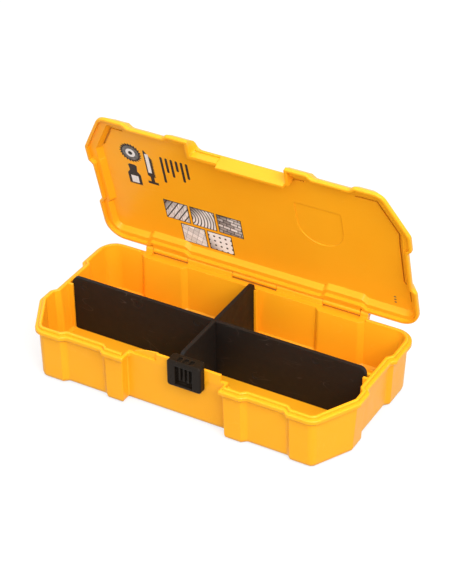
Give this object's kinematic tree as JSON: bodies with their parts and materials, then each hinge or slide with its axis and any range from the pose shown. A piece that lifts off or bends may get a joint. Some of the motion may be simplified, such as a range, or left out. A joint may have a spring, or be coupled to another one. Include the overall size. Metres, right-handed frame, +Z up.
{
  "type": "saw blade storage case",
  "caption": "Shallow moulded tool accessory case with a hinged lid, a sliding front latch and crossed dividers that form compartments.",
  "frame": {"origin": "centre of the base's footprint, on its underside", "axes": "+X along the case's length, to the right seen from the latch; +Y from the latch side to the hinge side; +Z up"},
  "size_m": [0.24, 0.1257, 0.1566],
  "materials": {
    "case_yellow": "satin moulded",
    "divider_black": "satin moulded",
    "latch_black": "satin moulded",
    "pin_steel": "drawn wire",
    "print_ink": "printed"
  },
  "bodies": {
    "tub": {"base_tub": "case_yellow", "hinge_pin": "pin_steel", "long_divider": "divider_black", "cross_divider": "divider_black"},
    "lid": {"lid": "case_yellow"},
    "latch": {"slide_latch": "latch_black"}
  },
  "joints": [
    {"name": "lid_hinge", "type": "hinge", "parent": "tub", "child": "lid", "pos_m": [0, 0.0613, 0.04115], "axis": [1, 0, 0], "range_deg": [-100, 74.2]},
    {"name": "latch_slide", "type": "slide", "parent": "tub", "child": "latch", "axis": [-1, 0, 0], "range_m": [0, 0.018]}
  ]
}
